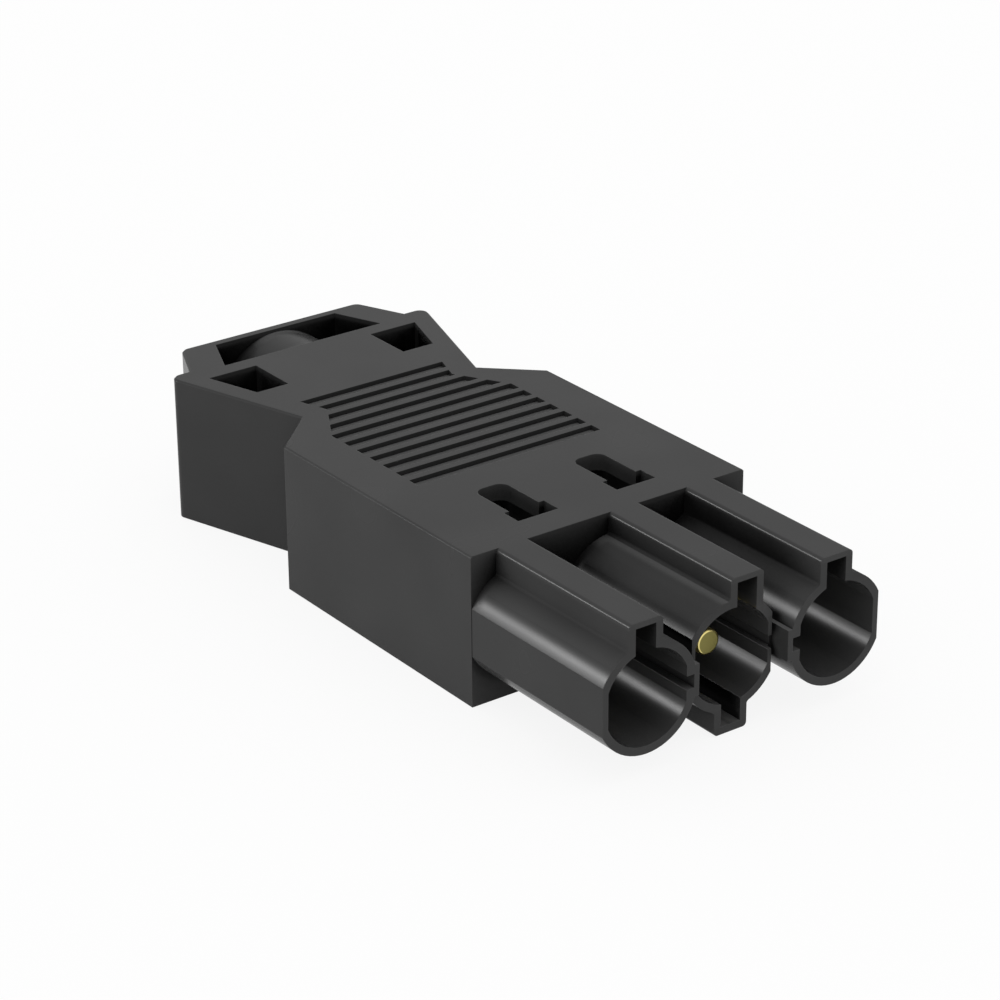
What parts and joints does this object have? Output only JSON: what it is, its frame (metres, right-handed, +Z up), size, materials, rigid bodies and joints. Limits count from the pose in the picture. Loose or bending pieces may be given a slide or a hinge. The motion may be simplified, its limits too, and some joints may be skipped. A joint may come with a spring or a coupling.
{
  "type": "installation connector",
  "caption": "Three-pole pluggable installation connector, male side, with keyed sleeves, brass pins, a ribbed grip and a strain-relieved cable entry.",
  "frame": {"origin": "middle of the bounding box's underside, on the rest face", "axes": "+X out of the sleeves towards the mating connector, +Y across, +Z up through the grip"},
  "size_m": [0.091, 0.0376, 0.018],
  "materials": {
    "housing_plastic": "black polyamide with a fine eroded satin texture",
    "insert_plastic": "black glass-filled polyamide, smoother than the housing",
    "contact_brass": "turned and milled brass",
    "screw_steel": "zinc-plated steel"
  },
  "bodies": {
    "root": {"housing": "housing_plastic", "bottom_cover": "housing_plastic", "cover_screws": "screw_steel", "contact_carrier": "insert_plastic", "contact_retainer": "insert_plastic", "pin_line": "contact_brass", "pin_earth": "contact_brass", "pin_neutral": "contact_brass", "terminal_line": "contact_brass", "terminal_earth": "contact_brass", "terminal_neutral": "contact_brass", "wire_guard_line": "screw_steel", "wire_guard_earth": "screw_steel", "wire_guard_neutral": "screw_steel", "terminal_screws": "screw_steel", "clamp_saddle": "insert_plastic", "clamp_screws": "screw_steel", "clamp_nuts": "screw_steel"}
  },
  "joints": []
}
